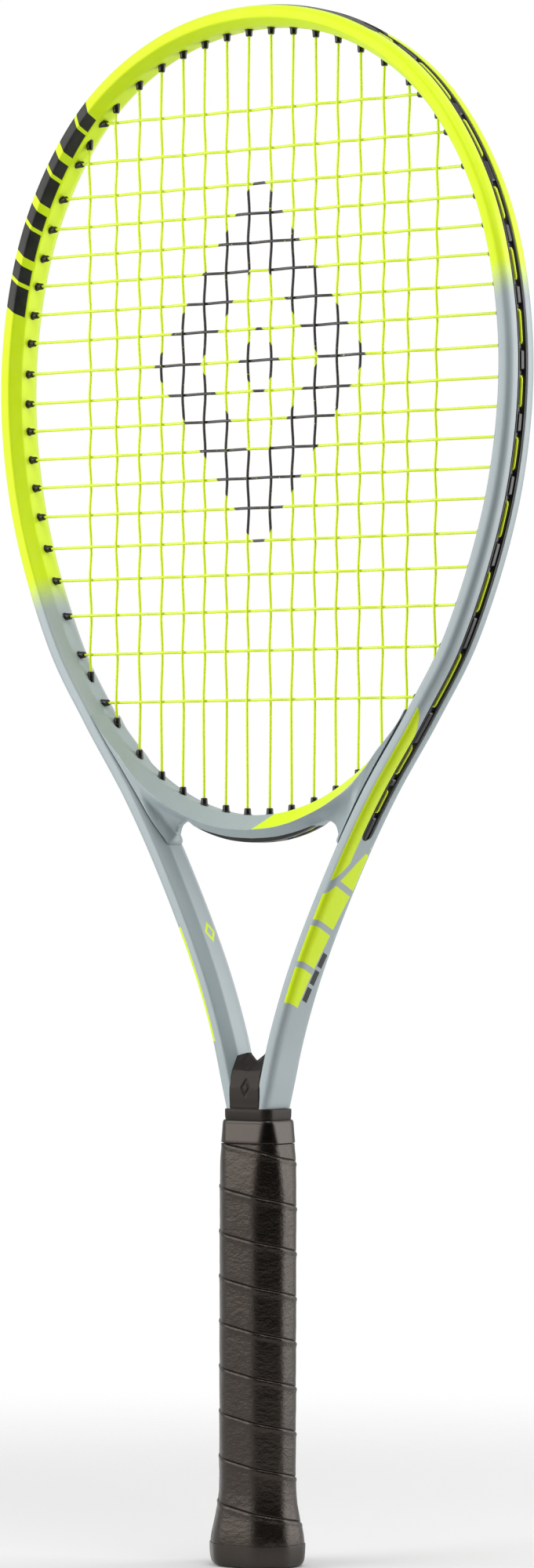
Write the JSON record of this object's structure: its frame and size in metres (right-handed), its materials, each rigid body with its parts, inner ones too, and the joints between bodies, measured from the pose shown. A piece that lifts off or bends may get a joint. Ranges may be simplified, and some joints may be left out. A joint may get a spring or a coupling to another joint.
{
  "type": "tennis racket",
  "caption": "Strung tennis racket with an oval head, an open throat with a moulded bridge, a woven string bed and a taped octagonal handle that flares at the butt.",
  "frame": {"origin": "centre of the butt cap's flat end face", "axes": "+Z along the racket from the butt to the tip of the head, X across the head, Y through the string bed with the front face at -Y"},
  "size_m": [0.2772, 0.035, 0.685],
  "materials": {
    "frame_paint": "satin",
    "bridge_paint": "satin",
    "grommet_plastic": "satin",
    "string": "satin",
    "insert_rubber": "matte",
    "pallet_plastic": "matte",
    "foam": "matte",
    "finishing_tape": "satin",
    "collar_rubber": "satin",
    "grip_leather": "satin",
    "butt_rubber": "satin",
    "staple_steel": "satin"
  },
  "bodies": {
    "root": {"frame_tube": "frame_paint", "throat_bridge": "bridge_paint", "bumper_guard": "grommet_plastic", "grommet_strip_left": "grommet_plastic", "grommet_strip_right": "grommet_plastic", "grommet_strip_throat": "grommet_plastic", "main_string": "string", "cross_string": "string", "throat_insert": "insert_rubber", "pallet_front": "pallet_plastic", "pallet_back": "pallet_plastic", "foam_plug_left": "foam", "foam_plug_right": "foam", "finishing_tape": "finishing_tape", "rubber_collar": "collar_rubber", "grip_tape": "grip_leather", "butt_cap": "butt_rubber", "butt_door": "butt_rubber", "staple_front": "staple_steel", "staple_back": "staple_steel"}
  },
  "joints": []
}
